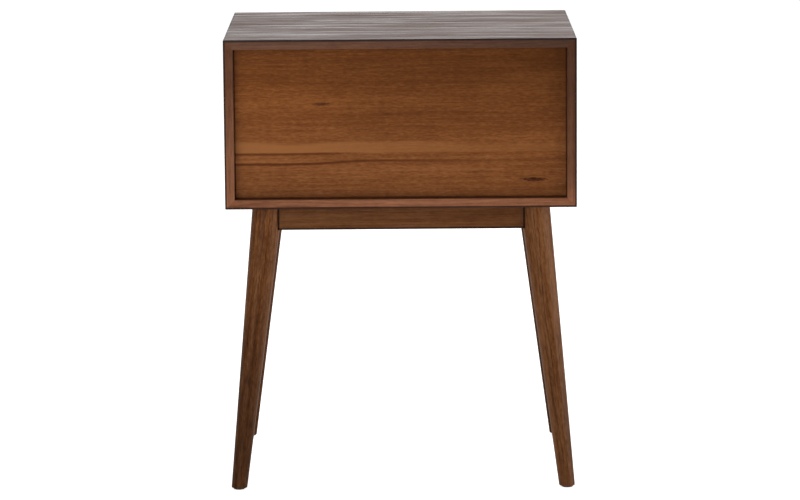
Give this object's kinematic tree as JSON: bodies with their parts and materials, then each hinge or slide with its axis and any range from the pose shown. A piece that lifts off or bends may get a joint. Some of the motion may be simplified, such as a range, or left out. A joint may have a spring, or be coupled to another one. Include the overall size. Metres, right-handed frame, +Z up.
{
  "type": "nightstand",
  "caption": "Mid-century bedside cabinet: a mitred box case with stacked drawers and a recessed finished back, on splayed tapered round legs joined by rails.",
  "frame": {"origin": "on the floor, at the centre of the overall footprint, knobs included", "axes": "+Z up, drawer fronts face -Y, finished back faces +Y, +X is the right side seen from the front"},
  "size_m": [0.508, 0.4274, 0.6604],
  "materials": {
    "stained_wood": "satin lacquer over a red-brown walnut stain, grain along each piece",
    "veneered_panel": "satin lacquer over orange-brown straight-grained veneer, grain across the width",
    "pale_hardwood": "bare sanded hardwood",
    "drawer_wood": "clear satin lacquer on pale solid wood",
    "drawer_plywood": "clear satin lacquer on pale plywood",
    "slide_steel": "bright zinc plate, rolled",
    "ball_steel": "polished",
    "zinc_steel": "zinc plate",
    "glide_nylon": "matt dark nylon"
  },
  "bodies": {
    "case": {"top_board": "stained_wood", "bottom_board": "stained_wood", "left_side_board": "stained_wood", "right_side_board": "stained_wood", "back_panel": "veneered_panel", "drawer_divider": "stained_wood", "mitre_splines": "pale_hardwood", "front_rail": "stained_wood", "rear_rail": "stained_wood", "left_rail": "stained_wood", "right_rail": "stained_wood", "front_left_leg": "stained_wood", "front_right_leg": "stained_wood", "rear_left_leg": "stained_wood", "rear_right_leg": "stained_wood", "front_left_corner_block": "pale_hardwood", "front_right_corner_block": "pale_hardwood", "rear_left_corner_block": "pale_hardwood", "rear_right_corner_block": "pale_hardwood", "hanger_bolts": "zinc_steel", "hanger_bolt_washers": "zinc_steel", "hanger_bolt_nuts": "zinc_steel", "corner_block_screws": "zinc_steel", "case_screws": "zinc_steel", "joint_dowels": "pale_hardwood", "foot_glides": "glide_nylon", "cabinet_slide_screws": "zinc_steel", "upper_left_cabinet_slide": "slide_steel", "upper_right_cabinet_slide": "slide_steel", "lower_left_cabinet_slide": "slide_steel", "lower_right_cabinet_slide": "slide_steel"},
    "upper_drawer": {"upper_drawer_front": "stained_wood", "upper_drawer_left_side": "drawer_wood", "upper_drawer_right_side": "drawer_wood", "upper_drawer_back": "drawer_wood", "upper_drawer_bottom": "drawer_plywood", "upper_drawer_knob": "stained_wood", "upper_drawer_slide_screws": "zinc_steel", "upper_knob_screw": "zinc_steel", "upper_left_drawer_slide": "slide_steel", "upper_right_drawer_slide": "slide_steel"},
    "upper_left_middle_member": {"upper_left_middle_slide": "slide_steel"},
    "upper_right_middle_member": {"upper_right_middle_slide": "slide_steel"},
    "upper_outer_ball_rows": {"upper_outer_ball_strips": "ball_steel"},
    "upper_inner_ball_rows": {"upper_inner_ball_strips": "ball_steel"},
    "lower_drawer": {"lower_drawer_front": "stained_wood", "lower_drawer_left_side": "drawer_wood", "lower_drawer_right_side": "drawer_wood", "lower_drawer_back": "drawer_wood", "lower_drawer_bottom": "drawer_plywood", "lower_drawer_knob": "stained_wood", "lower_drawer_slide_screws": "zinc_steel", "lower_knob_screw": "zinc_steel", "lower_left_drawer_slide": "slide_steel", "lower_right_drawer_slide": "slide_steel"},
    "lower_left_middle_member": {"lower_left_middle_slide": "slide_steel"},
    "lower_right_middle_member": {"lower_right_middle_slide": "slide_steel"},
    "lower_outer_ball_rows": {"lower_outer_ball_strips": "ball_steel"},
    "lower_inner_ball_rows": {"lower_inner_ball_strips": "ball_steel"}
  },
  "joints": [
    {"name": "upper_drawer_travel", "type": "slide", "parent": "case", "child": "upper_drawer", "axis": [0, -1, 0], "range_m": [0, 0.3]},
    {"name": "upper_left_middle_travel", "type": "slide", "parent": "case", "child": "upper_left_middle_member", "axis": [0, -1, 0], "range_m": [0, 0.15]},
    {"name": "upper_right_middle_travel", "type": "slide", "parent": "case", "child": "upper_right_middle_member", "axis": [0, -1, 0], "range_m": [0, 0.15]},
    {"name": "upper_outer_ball_travel", "type": "slide", "parent": "case", "child": "upper_outer_ball_rows", "axis": [0, -1, 0], "range_m": [0, 0.075]},
    {"name": "upper_inner_ball_travel", "type": "slide", "parent": "case", "child": "upper_inner_ball_rows", "axis": [0, -1, 0], "range_m": [0, 0.225]},
    {"name": "lower_drawer_travel", "type": "slide", "parent": "case", "child": "lower_drawer", "axis": [0, -1, 0], "range_m": [0, 0.3]},
    {"name": "lower_left_middle_travel", "type": "slide", "parent": "case", "child": "lower_left_middle_member", "axis": [0, -1, 0], "range_m": [0, 0.15]},
    {"name": "lower_right_middle_travel", "type": "slide", "parent": "case", "child": "lower_right_middle_member", "axis": [0, -1, 0], "range_m": [0, 0.15]},
    {"name": "lower_outer_ball_travel", "type": "slide", "parent": "case", "child": "lower_outer_ball_rows", "axis": [0, -1, 0], "range_m": [0, 0.075]},
    {"name": "lower_inner_ball_travel", "type": "slide", "parent": "case", "child": "lower_inner_ball_rows", "axis": [0, -1, 0], "range_m": [0, 0.225]}
  ],
  "couplings": [
    {"joint": "upper_left_middle_travel", "follows": "upper_drawer_travel", "ratio": 0.5},
    {"joint": "upper_right_middle_travel", "follows": "upper_drawer_travel", "ratio": 0.5},
    {"joint": "upper_outer_ball_travel", "follows": "upper_drawer_travel", "ratio": 0.25},
    {"joint": "upper_inner_ball_travel", "follows": "upper_drawer_travel", "ratio": 0.75},
    {"joint": "lower_left_middle_travel", "follows": "lower_drawer_travel", "ratio": 0.5},
    {"joint": "lower_right_middle_travel", "follows": "lower_drawer_travel", "ratio": 0.5},
    {"joint": "lower_outer_ball_travel", "follows": "lower_drawer_travel", "ratio": 0.25},
    {"joint": "lower_inner_ball_travel", "follows": "lower_drawer_travel", "ratio": 0.75}
  ]
}
